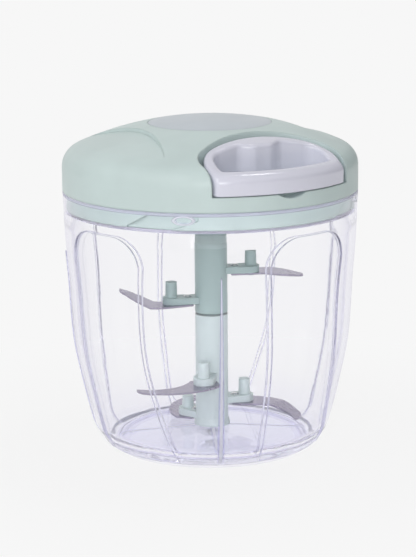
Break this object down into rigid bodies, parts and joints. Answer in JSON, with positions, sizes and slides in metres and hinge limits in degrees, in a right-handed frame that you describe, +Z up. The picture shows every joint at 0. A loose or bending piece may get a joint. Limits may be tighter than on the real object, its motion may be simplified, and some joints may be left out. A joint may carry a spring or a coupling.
{
  "type": "pull-cord food chopper",
  "caption": "Pull-cord food chopper: clear bowl with arched panels, domed bayonet lid with recoil drive and loop handle, and a hub that carries bent steel blades.",
  "frame": {"origin": "middle of the foot ring's underside", "axes": "+Z up along the bowl's axis, and the handle is pulled along -Y"},
  "size_m": [0.13, 0.13, 0.1471],
  "materials": {
    "bowl_clear": "clear",
    "foot_clear": "frosted",
    "mint": "fine satin",
    "hub_mint": "satin",
    "grey_lilac": "satin",
    "nylon": "satin",
    "blade_steel": "brushed",
    "bright_steel": "polished",
    "seal_silicone": "satin",
    "cord": "braided"
  },
  "bodies": {
    "bowl": {"bowl": "bowl_clear", "foot_ring": "foot_clear", "pivot_pin": "bright_steel"},
    "blade_unit": {"lower_hub": "hub_mint", "upper_hub": "hub_mint", "pivot_bush": "nylon", "blade_lower_a": "blade_steel", "blade_lower_b": "blade_steel", "blade_lower_c": "blade_steel", "blade_upper_a": "blade_steel", "blade_upper_b": "blade_steel", "blade_rivets": "bright_steel"},
    "seal": {"seal_ring": "seal_silicone"},
    "lid": {"lid_base": "mint", "lid_cover": "mint", "top_disc": "grey_lilac", "cover_screws": "bright_steel", "center_axle": "bright_steel", "axle_clip": "bright_steel", "cord_eyelet": "bright_steel"},
    "coupler": {"drive_coupler": "nylon"},
    "spool": {"cord_spool": "nylon", "spring_cap": "nylon", "recoil_spring": "blade_steel", "cord_winding": "cord", "pawl_pins": "bright_steel"},
    "pawl_one": {"pawl_a": "nylon"},
    "pawl_two": {"pawl_b": "nylon"},
    "handle": {"pull_handle": "grey_lilac", "cord_bead": "nylon", "pull_cord": "cord"}
  },
  "joints": [
    {"name": "lid_lift", "type": "slide", "parent": "bowl", "child": "seal", "axis": [0, 0, 1], "range_m": [0, 0.06]},
    {"name": "lid_turn", "type": "hinge", "parent": "seal", "child": "lid", "pos_m": [0, 0, 0.11], "axis": [0, 0, 1], "range_deg": [0, 150.5]},
    {"name": "handle_pull", "type": "slide", "parent": "lid", "child": "handle", "axis": [0, -1, 0], "range_m": [0, 0.35], "stiffness_N_per_m": 15, "springref_m": -0.2, "deforming": ["pull_cord"]},
    {"name": "spool_spin", "type": "hinge", "parent": "lid", "child": "spool", "pos_m": [0, 0, 0.1275], "axis": [0, 0, 1], "range_deg": [0, 952], "deforming": ["recoil_spring"]},
    {"name": "coupler_spin", "type": "hinge", "parent": "seal", "child": "coupler", "pos_m": [0, 0, 0.11], "axis": [0, 0, 1], "range_deg": [0, 952]},
    {"name": "blade_spin", "type": "hinge", "parent": "bowl", "child": "blade_unit", "pos_m": [0, 0, 0.02], "axis": [0, 0, 1], "range_deg": [0, 952]},
    {"name": "pawl_swing_a", "type": "hinge", "parent": "spool", "child": "pawl_one", "pos_m": [0.009, 0, 0.12], "axis": [0, 0, -1], "range_deg": [0, 24], "stiffness_Nm_per_rad": 0.000001},
    {"name": "pawl_swing_b", "type": "hinge", "parent": "spool", "child": "pawl_two", "pos_m": [-0.009, 0, 0.12], "axis": [0, 0, -1], "range_deg": [0, 24], "stiffness_Nm_per_rad": 0.000001}
  ],
  "couplings": [
    {"joint": "lid_turn", "follows": "lid_lift", "rad_per_m": 43.633},
    {"joint": "spool_spin", "follows": "handle_pull", "rad_per_m": 47.393},
    {"joint": "coupler_spin", "follows": "handle_pull", "rad_per_m": 47.393},
    {"joint": "blade_spin", "follows": "handle_pull", "rad_per_m": 47.393},
    {"joint": "pawl_swing_b", "follows": "pawl_swing_a", "ratio": 1}
  ]
}
